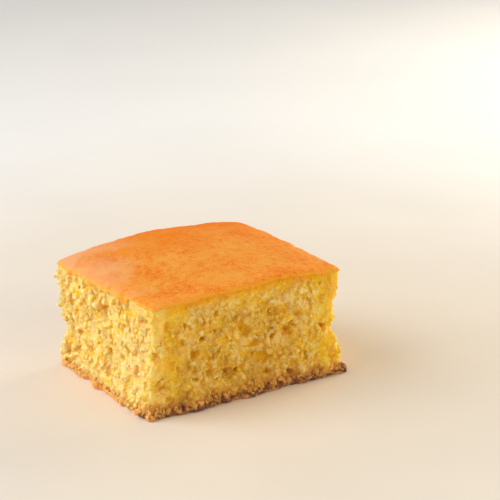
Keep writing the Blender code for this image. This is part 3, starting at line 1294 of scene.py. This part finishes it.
@dataclass
class CrumbBody:
    """The crumb between the two crusts, torn open on its four walls.

    Torn crumb overhangs itself and has pores, which no function of two parameters gives, so it is
    the zero surface of a field: the form's depth below its walls, with beds of round lumps and
    grains packed near the surface and a few pores taken out of it.
    """

    form: Form
    spacing: float = 0.30 * MM
    triangles: int = 196_000
    band: tuple[float, float] = (-2.9 * MM, 1.4 * MM)
    core_depth: float = 1.15 * MM
    beds: tuple[Bed, ...] = (
        Bed(3.2 * MM, (0.9 * MM, 1.8 * MM), 0.80, 45),
        Bed(1.55 * MM, (0.50 * MM, 0.95 * MM), 0.45, 41),
    )
    grit: Bed = Bed(0.80 * MM, (0.28 * MM, 0.48 * MM), 0.0, 42)
    pores: Bed = Bed(4.2 * MM, (-1.6 * MM, 0.8 * MM), 0.0, 43)
    crust_cover: float = 0.35 * MM
    foot_cover: float = 0.9 * MM
    table_step: float = 0.25 * MM
    shake_size: float = 2.2 * MM
    shake_reach: float = 0.9 * MM
    warp_size: float = 1.8 * MM
    warp_reach: float = 0.42 * MM
    lump_join: float = 0.26 * MM
    pore_edge: float = 0.25 * MM
    grain_join: float = 0.13 * MM
    fuzz_size: float = 0.8 * MM
    fuzz_reach: float = 0.07 * MM
    # Hollows finer than the solid's: along the rim, height, half width, half height, depth, in mm.
    # The places in this list were worked out by a separate measuring script, not by a rule here.
    windows: tuple[tuple[float, ...], ...] = (
        (30.3, 21.8, 1.9, 2.9, 0.9),
        (42.0, 24.5, 3.8, 2.5, 1.2),
        (40.1, 24.0, 1.5, 1.0, 1.1),
        (47.2, 17.0, 3.2, 2.5, 0.8),
        (35.6, 15.6, 3.7, 2.0, 1.2),
        (38.1, 10.3, 3.9, 1.5, 1.2),
        (21.3, 27.7, 1.8, 1.8, 1.1),
        (14.2, 16.8, 2.0, 2.1, 1.5),
        (19.6, 10.3, 2.8, 1.7, 1.5),
        (16.9, 20.5, 1.2, 1.2, 1.7),
        (47.6, 4.6, 2.1, 1.3, 1.8),
        (9.3, 21.2, 2.8, 1.5, 0.8),
        (27.5, 8.8, 3.7, 1.9, 1.2),
        (41.4, 16.9, 1.0, 1.3, 1.5),
        (20.7, 22.8, 1.3, 1.2, 1.4),
        (23.8, 30.3, 1.1, 1.1, 1.1),
        (39.1, 5.9, 2.6, 1.9, 1.3),
        (14.4, 9.3, 2.1, 1.1, 1.2),
        (3.2, 27.3, 3.6, 3.2, 0.7),
        (5.0, 15.7, 3.6, 3.2, 0.7),
        (60.7, 10.8, 0.7, 0.6, 1.5),
        (215.5, 24.5, 2.0, 3.6, 1.4),
        (203.4, 21.4, 2.2, 1.3, 1.0),
        (199.9, 13.6, 2.8, 2.2, 1.1),
        (202.5, 6.0, 1.8, 1.6, 1.1),
        (197.7, 7.3, 2.4, 1.6, 1.1),
        (218.0, 12.9, 1.7, 2.0, 1.2),
        (223.2, 26.2, 1.3, 1.8, 1.2),
        (235.8, 28.2, 2.6, 1.2, 1.1),
        (228.7, 5.3, 3.0, 1.3, 1.0),
        (239.1, 25.8, 1.1, 2.8, 1.6),
        (218.3, 6.3, 1.8, 1.5, 1.1),
        (196.1, 23.4, 1.9, 1.8, 1.0),
        (228.3, 23.4, 1.5, 1.8, 1.0),
        (235.9, 14.6, 2.6, 2.1, 1.1),
        (240.6, 20.8, 1.4, 2.4, 1.3),
        (1.6, 20.5, 1.7, 2.6, -0.9),  # lumps that stand out of the near upright edge
        (242.3, 13.0, 2.2, 2.8, -0.8),
        (0.8, 8.3, 2.4, 1.0, -0.7),
    )
    deeper: float = 1.5
    # Smoother patches of the walls: along the rim, height, half width and half height in mm, and
    # how smooth, from 0 to 1.
    smooth: tuple[tuple[float, ...], ...] = (
        (66.0, 20.0, 14.0, 24.0, 0.32),
        (3.5, 27.5, 8.0, 9.0, 0.32),
        (5.0, 15.7, 6.0, 6.0, 0.24),
        (28.0, 31.0, 32.0, 6.0, 0.20),
    )

    def ground(self) -> Ground:
        """Gap from the torn walls, depth below the crown and hollows, at each grid point.

        The gap is the ray gap from the rim less the wall's offset there, read from a table over
        the rim and the height. The finer hollows are taken off the same table, at places shaken
        by noise so that none is round.

        Returns:
            The grid, with the hollows and the tightness too.
        """
        form = self.form
        half = np.array([form.length, form.width]) / 2 + 5 * MM
        low = np.array([-half[0], -half[1], -0.6 * MM])
        high = np.array([half[0], half[1], form.corner_height + 5 * MM])
        grid = Field.over(low, high, self.spacing)
        x, y, z = grid.coordinates()
        step = self.table_step
        walks = np.arange(math.ceil(form.whole() / step)) * step
        heights = np.arange(math.ceil(high[2] / step) + 2) * step
        walk, height = (side.ravel() for side in np.meshgrid(walks, heights, indexing="ij"))
        flat, _ = form.rim(walk)
        places = np.concatenate([flat, height[:, None]], axis=1)
        shaken = noise_vectors(places, self.shake_size, 51) * self.shake_reach
        shaken_walk, shaken_height = walk + shaken[:, 0], height + shaken[:, 2]
        finer = np.array(self.windows) * MM
        finer[:, 4] *= self.deeper
        dug = form.sum_of_hollows(shaken_walk, shaken_height, finer)
        shape = (len(walks), len(heights))
        table = (form.wall_offset(walk, height) - dug).reshape(shape)
        torn = np.array(form.tears[2:]) * MM
        torn[:, 4] = np.maximum(torn[:, 4], 0)
        dug = dug + 0.6 * form.sum_of_hollows(shaken_walk, shaken_height, torn)
        dug = ease(0.15 * MM, 1.3 * MM, dug).reshape(shape)
        smooth = np.array(self.smooth) * np.array([MM, MM, MM, MM, 1.0])
        smooth = form.sum_of_hollows(shaken_walk, shaken_height, smooth)
        smooth = np.clip(smooth, 0, 0.5).reshape(shape)
        upright = x + 0 * y - form.lean(x, y, z)
        walk, gap = form.walk_and_gap(upright, np.broadcast_to(y, upright.shape))
        column = (walk / form.whole() * len(walks)).astype(np.int64) % len(walks)
        row = np.clip(np.rint(z / step).astype(np.int64), 0, len(heights) - 1)
        row = np.broadcast_to(row, column.shape)
        gap = (gap - table[column, row]).astype(np.float32)
        flat_x, flat_y = x[:, :, 0] + 0 * y[:, :, 0], y[:, :, 0] + 0 * x[:, :, 0]
        level = round((form.corner_height - low[2]) / self.spacing)
        crown = form.crown_height(flat_x, flat_y)
        crown = crown - form.rim_bend(flat_x, flat_y, gap[:, :, level])
        under = (crown[:, :, None] - z).astype(np.float32)
        opened = 0.55 + 0.45 * ease(0.6 * MM, 4.0 * MM, under)
        hollow = dug[column, row]
        tight = 1 - opened * (1 - smooth[column, row]) * (1 - 0.45 * hollow)
        return Ground(grid, gap, under, hollow.astype(np.float32), tight.astype(np.float32))

    def lumps(self, bed: Bed, points: Array, ground: Ground) -> Array:
        """Distance to one bed's balls, of which only those sunk under the wall count.

        Args:
            bed: the bed.
            points: places near the walls.
            ground: the form's grid.

        Returns:
            One distance for each place.
        """
        draw = np.random.default_rng(bed.seed + 100)
        at = ground.grid.at

        def sunk(centres: Array, radii: Array) -> Array:
            """Keeps the balls whose middle lies deep enough, at a share of their radius."""
            share = bed.sink + (1 - bed.sink) * draw.random(len(radii))
            share = share + 0.7 * at(centres, ground.tight)
            return np.where(at(centres, ground.gap) < -radii * share, radii, -1.0)

        return ball_field(points, bed.cell, bed.radii, bed.seed, sunk)

    def grains(self, points: Array, lumps: Array, ground: Ground) -> Array:
        """Distance to the small balls that stick half out of the lumps.

        Args:
            points: places near the walls.
            lumps: the lumps' field at every grid point.
            ground: the form's grid.

        Returns:
            One distance for each place.
        """
        draw = np.random.default_rng(self.grit.seed + 100)
        at = ground.grid.at

        def half_out(centres: Array, radii: Array) -> Array:
            """Keeps the balls whose middle is near the lumps' surface, smaller in tight crumb."""
            depth = at(centres, lumps) / radii
            share = draw.uniform(-0.80, -0.02, len(radii))
            size = radii * (1 - 0.45 * at(centres, ground.tight))
            return np.where((depth < share) & (depth > -1.1), size, -1.0)

        return ball_field(points, self.grit.cell, self.grit.radii, self.grit.seed, half_out)

    def tear(self, ground: Ground) -> Array:
        """The crumb's field.

        A core lies a little below the wall. Beds of lumps are joined to it softly, then small
        grains all over them, and pores are taken out. All of it is warped, and it is finer and
        tighter under the top crust.

        Args:
            ground: the form's grid.

        Returns:
            The field at every grid point. Away from the walls it is the gap.
        """
        gap, under = ground.gap, ground.under
        near = (gap > self.band[0]) & (gap < self.band[1]) & (under > -0.5 * MM)
        where = np.nonzero(near)
        steps = ground.grid.coordinates()
        points = np.stack([steps[axis].ravel()[where[axis]] for axis in range(3)], axis=1)
        opened = 1 - ground.tight[near]
        warped = points + self.warp_reach * noise_vectors(points, self.warp_size, 21)
        body = gap[near] + self.core_depth * opened
        for bed in self.beds:
            body = soft_lower(body, self.lumps(bed, warped, ground), self.lump_join)
        hole = self.pores
        pores = ball_field(warped, hole.cell, hole.radii, hole.seed, lambda centres, radii: radii)
        body = -soft_lower(-body, pores + 0.6 * MM * (1 - opened), self.pore_edge)
        values = gap.copy()
        values[near] = body
        grains = self.grains(points, values, ground)
        fuzz = self.fuzz_reach * soft_noise(points, self.fuzz_size, 35)
        values[near] = soft_lower(body, grains, self.grain_join) + fuzz
        return values

    def build(self) -> bpy.types.Object:
        """Works out the field, takes its surface, and stores what the finish reads.

        Returns:
            The crumb, in the frame's coordinates.
        """
        ground = self.ground()
        grid, under = ground.grid, ground.under
        height = np.broadcast_to(grid.coordinates()[2], under.shape).astype(np.float32)
        values = np.maximum(self.tear(ground), self.crust_cover - under)
        grid.values = np.maximum(values, self.foot_cover - height).astype(np.float32)
        inner = (ground.gap < self.band[0]) & (under > 2 * MM) & (height > 3 * MM)
        grid.drop_loose_parts(inner, (ground.gap > self.band[1]) | (under < 0))
        surface, faces = grid.surface()
        piece = make_piece("crumb", surface, faces)
        LOG.info("crumb before thinning: %d triangles", triangle_count(piece.data))
        thin_out(piece, self.triangles)
        self.store(piece, ground)
        return piece

    def store(self, piece: bpy.types.Object, ground: Ground) -> None:
        """Stores the crumb's attributes and moves it into the frame.

        The attributes are how full the space just outside each point is, the depth below the
        crown and the height as shares of their spans, the hollows and the tightness.

        Args:
            piece: the crumb.
            ground: the form's grid, with the crumb's field in it.
        """
        points, mesh = points_of(piece.data), piece.data
        out = points + normals_of(mesh) * 0.35 * MM
        set_attribute(mesh, "crowding", ground.grid.at(out, ground.grid.crowding(1.3 * MM)))
        under = ground.grid.at(points, ground.under) / UNDER_TOP_SPAN
        set_attribute(mesh, "under_top", np.clip(under, 0, 1))
        set_attribute(mesh, "over_foot", np.clip(points[:, 2] / OVER_FOOT_SPAN, 0, 1))
        set_attribute(mesh, "hollow", ground.grid.at(points, ground.hollow))
        set_attribute(mesh, "tight", ground.grid.at(points, ground.tight))
        shift_points(mesh, points, self.form.middle())


def shift_points(mesh: bpy.types.Mesh, points: Array, middle: Array) -> None:
    """Moves points from the form's coordinates into the frame's and writes them to the mesh.

    Args:
        mesh: the mesh.
        points: its points in the form's coordinates.
        middle: the form's step.
    """
    moved = points - np.array([middle[0], middle[1], 0.0])
    mesh.vertices.foreach_set("co", moved.astype(np.float32).ravel())
    mesh.update()


@dataclass
class TopCrust:
    """The thin baked skin over the crumb, with a fine relief and a slightly ragged edge."""

    form: Form
    steps: int = 212
    thickness: float = 0.40 * MM
    edge_width: float = 1.7 * MM
    rim_inset: float = 0.1 * MM
    droop: float = 2.2 * MM
    droop_at: float = 227.5 * MM
    # The edge's rings: how far down, as a share of its depth there, and how far in, in mm.
    edge_profile: tuple[tuple[float, float], ...] = (
        (0.35, 0.10),
        (0.75, 0.22),
        (1.0, 0.75),
        (1.0, 2.6),
    )
    underside_shares: tuple[float, ...] = (0.8, 0.55, 0.3, 0.1, 0.0)
    relief: tuple[tuple[float, float, int], ...] = (
        (4.0 * MM, 0.10 * MM, 61),
        (1.7 * MM, 0.055 * MM, 62),
        (0.8 * MM, 0.022 * MM, 63),
    )

    def ragged_rim(self, walk: Array, z: Array) -> Array:
        """Extra inset of the crust's edge: noise of two sizes, up to half a millimetre each way."""
        flat, _ = self.form.rim(walk)
        points = np.concatenate([flat, z[:, None]], axis=1)
        wide = 0.32 * MM * soft_noise(points, 1.9 * MM, 64)
        return wide + 0.22 * MM * soft_noise(points, 0.7 * MM, 65)

    def outline(self, walk: Array, inset: Array) -> Array:
        """The crust's edge at the crown's height, some way in from the wall.

        Args:
            walk: distances along the rim.
            inset: how far in.

        Returns:
            The (n, 3) points.
        """
        flat, _ = self.form.rim(walk)
        z = self.form.crown_height(flat[:, 0], flat[:, 1])
        return self.form.wall_points(walk, z, inset + self.ragged_rim(walk, z))

    def top_sheet(self) -> tuple[Array, Array, Array]:
        """The upper side: squares shrunk from the rim to the middle.

        For s and t from -1 to 1, the larger of |s| and |t| is the share of the way out to the rim,
        and the direction of (s, t) picks the place on the rim. Heights are the crown's, less its
        bend near the rim, plus the relief.

        Returns:
            The (n, n, 3) points, the shares of the way out, and the distances along the rim.
        """
        line = np.linspace(-1, 1, self.steps)
        s, t = np.meshgrid(line, line, indexing="ij")
        out = np.maximum(np.abs(s), np.abs(t))
        safe = np.maximum(out, 1e-9)
        x, y = s / safe * self.form.length / 2, t / safe * self.form.width / 2
        walk, _ = self.form.walk_and_gap(x, y)
        rim = self.outline(walk.ravel(), np.full(walk.size, self.rim_inset))
        flat = rim[:, :2].reshape(*s.shape, 2) * out[..., None]
        z = self.form.crown_height(flat[..., 0], flat[..., 1])
        gap = (out - 1) * self.form.width / 2
        z = z - self.form.rim_bend(flat[..., 0], flat[..., 1], gap)
        points = np.stack([flat[..., 0], flat[..., 1], np.zeros_like(z)], axis=-1).reshape(-1, 3)
        for size, reach, seed in self.relief:
            z = z + reach * soft_noise(points, size, seed).reshape(z.shape)
        return np.concatenate([flat, z[..., None]], axis=-1), out, walk

    def build(self) -> bpy.types.Object:
        """Joins the upper side, the edge and the underside into one closed shell.

        Returns:
            The crust, in the frame's coordinates.
        """
        top, out, walk = self.top_sheet()
        n = self.steps
        number = np.arange(n * n).reshape(n, n)
        squares = [number[:-1, :-1], number[1:, :-1], number[1:, 1:], number[:-1, 1:]]
        faces = [np.stack(squares, axis=-1).reshape(-1, 4)]
        sides = [number[:-1, 0], number[-1, :-1], number[:0:-1, -1], number[0, :0:-1]]
        border = np.concatenate(sides)
        edge_walk = walk.ravel()[border]
        flat, _ = self.form.rim(edge_walk)
        plane = np.concatenate([flat, np.zeros((len(flat), 1))], axis=1)
        patch = ease(0.1, 0.8, soft_noise(plane, 3.2 * MM, 67))
        depth = self.thickness * (1 + 0.45 * soft_noise(plane, 0.9 * MM, 66) + 2.2 * patch)
        depth += self.droop * ease(1.0, 0.3, np.abs(edge_walk - self.droop_at) / (2.0 * MM))
        points = [top.reshape(-1, 3)]
        rings = []
        rim_top = top.reshape(-1, 3)[border]
        for drop, inset in self.edge_profile:
            ring = self.outline(edge_walk, np.full(len(border), inset * MM))
            ring[:, 2] = rim_top[:, 2] - drop * depth
            rings.append(ring)
        lowest = rings[-1]
        for share in self.underside_shares:
            ring = lowest.copy()
            ring[:, :2] *= share
            ring[:, 2] = self.form.crown_height(ring[:, 0], ring[:, 1]) - self.thickness
            rings.append(ring if share > 0 else ring[:1])
        previous, total = border, n * n
        for ring in rings:
            # The last ring is one point, so every quad that meets it is pinched.
            here = total + np.arange(len(border)) % len(ring)
            quad = [previous, here, np.roll(here, -1), np.roll(previous, -1)]
            faces.append(np.stack(quad, axis=1))
            points.append(ring)
            previous = here
            total += len(ring)
        piece = self.shell("top_crust", np.concatenate(points), np.concatenate(faces))
        from_edge = np.ones(len(piece.data.vertices))
        from_edge[: n * n] = (1 - out.ravel()) * self.form.width / 2 / self.edge_width
        from_edge[n * n :] = 0
        set_attribute(piece.data, "edge", 1 - np.clip(from_edge, 0, 1))
        shift_points(piece.data, points_of(piece.data), self.form.middle())
        return piece

    @staticmethod
    def shell(name: str, points: Array, faces: Array) -> bpy.types.Object:
        """A piece from quads, of which those with two equal corners are made triangles.

        Args:
            name: the piece's name.
            points: its points.
            faces: its quads.

        Returns:
            The object.
        """
        pinched = faces[:, 1] == faces[:, 2]
        mesh = bpy.data.meshes.new(name)
        quads, fans = faces[~pinched], faces[pinched][:, [0, 1, 3]]
        mesh.from_pydata(points.tolist(), [], quads.tolist() + fans.tolist())
        mesh.update()
        mesh.shade_smooth()
        piece = bpy.data.objects.new(name, mesh)
        bpy.context.scene.collection.objects.link(piece)
        return piece


@dataclass
class BottomCrust:
    """The browned foot: a thin slab under the crumb with a row of rough beads round its edge."""

    form: Form
    spacing: float = 0.28 * MM
    triangles: int = 120_000
    slab: float = 1.5 * MM
    beads: Bed = Bed(2.1 * MM, (0.70 * MM, 1.30 * MM), 0.30, 72)
    small_beads: Bed = Bed(0.95 * MM, (0.28 * MM, 0.52 * MM), 0.15, 73)
    # How high the beads may reach, how far that limit waves, and how much higher it is at -Y.
    bead_top: tuple[float, float, float] = (2.7 * MM, 0.7 * MM, 0.9 * MM)
    bead_join: float = 0.35 * MM
    slab_join: float = 0.4 * MM
    layer: float = 5.0 * MM

    def bead_field(self, bed: Bed, points: Array, grid: Field, gap: Array) -> Array:
        """Distance to one size of beads, of which only those near the foot of the wall count.

        Args:
            bed: the beads.
            points: places near the walls' foot.
            grid: the field's grid.
            gap: the gap from the wall at every grid point.

        Returns:
            One distance for each place.
        """
        draw = np.random.default_rng(bed.seed + 100)

        def footed(centres: Array, radii: Array) -> Array:
            """Keeps beads whose middle is under the wall and whose top is under a wavy limit."""
            share = bed.sink + (1 - bed.sink) * draw.random(len(radii))
            level, wave, near_side = self.bead_top
            limit = level + wave * soft_noise(centres, 6.0 * MM, 74)
            limit += near_side * ease(-0.8, -1.0, 2 * centres[:, 1] / self.form.width)
            keep = (grid.at(centres, gap) < -radii * share) & (centres[:, 2] + radii < limit)
            keep &= centres[:, 2] > (0.75 + 0.5 * draw.random(len(radii))) * radii
            return np.where(keep, radii, -1.0)

        return ball_field(points, bed.cell, bed.radii, bed.seed, footed)

    def build(self) -> bpy.types.Object:
        """The zero surface of slab and beads, cut flat where it rests.

        The slab ends a little inside the wall, and the beads stand on and around its edge.

        Returns:
            The crust, in the frame's coordinates.
        """
        ground = CrumbBody(self.form, spacing=self.spacing).ground()
        grid, gap = ground.grid, ground.gap
        levels = int(self.layer / self.spacing)
        grid.values, gap = grid.values[:, :, :levels], gap[:, :, :levels]
        steps = grid.coordinates()
        height = np.broadcast_to(steps[2], gap.shape)
        near = (gap < 2.0 * MM) & (gap > -4.5 * MM)
        where = np.nonzero(near)
        points = np.stack([steps[axis].ravel()[where[axis]] for axis in range(3)], axis=1)
        warped = points + 0.35 * MM * noise_vectors(points, 1.6 * MM, 71)
        beads = soft_lower(
            self.bead_field(self.beads, warped, grid, gap),
            self.bead_field(self.small_beads, warped, grid, gap),
            self.bead_join,
        )
        slab_top = self.slab + 0.60 * MM * soft_noise(points, 2.4 * MM, 75)
        inset = 0.75 * MM + 0.45 * MM * soft_noise(points, 1.7 * MM, 76)
        slab = np.maximum(height[near] - slab_top, gap[near] + inset)
        values = np.maximum(gap, height - self.slab)
        values[near] = soft_lower(slab, beads, self.slab_join)
        values = np.maximum(values, -height)
        grid.values = values.astype(np.float32)
        inner = (gap < -3 * MM) & (height > 0.3 * MM) & (height < 0.7 * MM)
        grid.drop_loose_parts(inner, (gap > 2 * MM) | (height < -0.3 * MM))
        crowding = grid.crowding(1.0 * MM)
        surface, faces = grid.surface()
        piece = make_piece("bottom_crust", surface, faces)
        thin_out(piece, self.triangles)
        at = points_of(piece.data)
        out = at + normals_of(piece.data) * 0.3 * MM
        set_attribute(piece.data, "crowding", grid.at(out, crowding))
        shift_points(piece.data, at, self.form.middle())
        return piece


@dataclass
class CrumbGrains:
    """Small loose grains that cling to the torn walls."""

    name: str
    count: int
    radii: tuple[float, float]
    seed: int

    @staticmethod
    def grain_shape() -> tuple[Array, Array]:
        """The twelve corners and twenty faces of an icosahedron.

        Its corners are the even turns of (0, 1, golden ratio) with every sign.

        Returns:
            The (12, 3) corners, a unit away from the middle, and the (20, 3) faces.
        """
        g = (1 + math.sqrt(5)) / 2
        corners = np.array(
            [(-1, g, 0), (1, g, 0), (-1, -g, 0), (1, -g, 0), (0, -1, g), (0, 1, g)]
            + [(0, -1, -g), (0, 1, -g), (g, 0, -1), (g, 0, 1), (-g, 0, -1), (-g, 0, 1)]
        )
        faces = np.array(
            [(0, 11, 5), (0, 5, 1), (0, 1, 7), (0, 7, 10), (0, 10, 11), (1, 5, 9), (5, 11, 4)]
            + [(11, 10, 2), (10, 7, 6), (7, 1, 8), (3, 9, 4), (3, 4, 2), (3, 2, 6), (3, 6, 8)]
            + [(3, 8, 9), (4, 9, 5), (2, 4, 11), (6, 2, 10), (8, 6, 7), (9, 8, 1)]
        )
        return corners / math.hypot(1, g), faces

    def build(self, crumb: bpy.types.Object) -> bpy.types.Object:
        """Sets knobbly grains on random proud points of the crumb's walls.

        Each grain is the icosahedron with its corners moved in and out, stretched and turned.

        Args:
            crumb: the finished crumb, in the frame's coordinates.

        Returns:
            All the grains as one joined piece.
        """
        draw = np.random.default_rng(self.seed)
        mesh = crumb.data
        points, normals = points_of(mesh), normals_of(mesh)
        crowded, under, tight = (
            attribute_of(mesh, name) for name in ("crowding", "under_top", "tight")
        )
        weight = ease(0.75, 0.45, crowded) * ease(0.05, 0.25, under)
        weight = weight * ease(3.0 * MM, 5 * MM, points[:, 2])
        weight *= 0.4 + 0.6 * ease(-0.3, 0.5, soft_noise(points, 5 * MM, self.seed + 1))
        weight *= ease(0.55, 0.10, tight)
        picked = draw.choice(len(points), self.count, replace=False, p=weight / weight.sum())
        corners, faces = self.grain_shape()
        each = len(corners)
        size = self.radii[0] + (self.radii[1] - self.radii[0]) * draw.random(self.count) ** 1.6
        stretch = draw.uniform(0.65, 1.35, (self.count, 1, 3))
        knobs = draw.uniform(0.6, 1.25, (self.count, each, 1))
        turn = self.turns(draw)
        shape = corners[None] * knobs * stretch * size[:, None, None]
        shape = np.einsum("nij,nkj->nki", turn, shape)
        place = points[picked] - normals[picked] * (size * 0.15)[:, None]
        all_points = (shape + place[:, None]).reshape(-1, 3)
        all_faces = (faces[None] + each * np.arange(self.count)[:, None, None]).reshape(-1, 3)
        piece = make_piece(self.name, all_points, all_faces)
        set_attribute(piece.data, "tint", np.repeat(draw.random(self.count), each))
        set_attribute(piece.data, "under_top", np.repeat(under[picked], each))
        set_attribute(piece.data, "over_foot", np.repeat(points[picked, 2] / OVER_FOOT_SPAN, each))
        return piece

    def turns(self, draw: np.random.Generator) -> Array:
        """Random turns as matrices, each from a unit quaternion of four normal draws."""
        q = draw.normal(size=(self.count, 4))
        w, x, y, z = (q / np.linalg.norm(q, axis=1)[:, None]).T
        rows = [
            [1 - 2 * (y * y + z * z), 2 * (x * y - w * z), 2 * (x * z + w * y)],
            [2 * (x * y + w * z), 1 - 2 * (x * x + z * z), 2 * (y * z - w * x)],
            [2 * (x * z - w * y), 2 * (y * z + w * x), 1 - 2 * (x * x + y * y)],
        ]
        return np.moveaxis(np.array(rows), 2, 0)


@dataclass(frozen=True)
class Lamp:
    """A square soft light aimed at the piece: its place, side, watts and linear colour."""

    name: str
    at: tuple[float, float, float]
    size: float
    power: float
    colour: Colour

    def build(self) -> None:
        """Hangs the lamp and turns it towards the middle of the piece."""
        data = bpy.data.lights.new(self.name, "AREA")
        data.size, data.energy, data.color = self.size, self.power, self.colour
        lamp = bpy.data.objects.new(self.name, data)
        lamp.location = self.at
        aim = Vector((0, 0, 0.02)) - Vector(self.at)
        lamp.rotation_euler = aim.to_track_quat("-Z", "Y").to_euler()
        bpy.context.scene.collection.objects.link(lamp)


@dataclass
class Studio:
    """Pale table, soft window light from behind on the left, and the camera."""

    camera_at: tuple[float, float, float] = (-0.30916, -0.48554, 0.22799)
    camera_back: tuple[float, float, float] = (-0.53086, -0.78744, 0.31324)
    lens: float = 144.0
    floor_half: float = 3.0
    lamps: tuple[Lamp, ...] = (
        Lamp("window", (-0.54, 0.22, 0.40), 0.72, 5.1, (0.96, 0.98, 1.02)),
        Lamp("room", (0.40, -0.80, 0.20), 0.80, 3.9, (1.0, 0.86, 0.42)),
        Lamp("glow", (0.62, 0.10, 0.12), 0.30, 3.2, (1.0, 0.88, 0.70)),
    )
    sky: Colour = (1.0, 0.97, 0.93)
    sky_strength: float = 0.38

    def build(self) -> None:
        """Makes the floor, the lights, the surroundings and the camera."""
        self.floor()
        for lamp in self.lamps:
            lamp.build()
        self.surroundings()
        self.camera()

    def floor(self) -> None:
        """A large square under the piece."""
        half = self.floor_half
        points = np.array([(-half, -half, 0), (half, -half, 0), (half, half, 0), (-half, half, 0)])
        floor = make_piece("floor", points, np.array([[0, 1, 2, 3]]))
        floor.data.materials.append(FloorFinish().material())

    def surroundings(self) -> None:
        """Even, slightly warm light from all round."""
        world = bpy.data.worlds.new("surroundings")
        world.use_nodes = True
        background = world.node_tree.nodes["Background"]
        background.inputs["Color"].default_value = (*self.sky, 1.0)
        background.inputs["Strength"].default_value = self.sky_strength
        bpy.context.scene.world = world

    def camera(self) -> None:
        """A long lens a little over half a metre away, level sideways."""
        data = bpy.data.cameras.new("camera")
        data.lens, data.sensor_width = self.lens, 36.0
        camera = bpy.data.objects.new("camera", data)
        camera.location = self.camera_at
        camera.rotation_euler = (-Vector(self.camera_back)).to_track_quat("-Z", "Y").to_euler()
        bpy.context.scene.collection.objects.link(camera)
        bpy.context.scene.camera = camera


def main() -> None:
    """Builds every piece in order, then the studio."""
    form = Form()
    crumb = CrumbBody(form, spacing=0.30 * MM)
    crumb_piece = crumb.build()
    settle(crumb_piece, CrumbFinish().material())
    for grains in (
        CrumbGrains("coarse_grains", 5000, (0.24 * MM, 0.46 * MM), 81),
        CrumbGrains("fine_grains", 9500, (0.12 * MM, 0.27 * MM), 85),
    ):
        settle(grains.build(crumb_piece), GrainFinish().material())
    settle(TopCrust(form).build(), TopCrustFinish().material())
    bottom = BottomCrust(form, spacing=0.28 * MM).build()
    settle(bottom, BottomCrustFinish().material())
    Studio().build()
    bpy.context.scene.view_settings.view_transform = "Standard"
    bpy.context.view_layer.update()


if __name__ == "__main__":
    main()
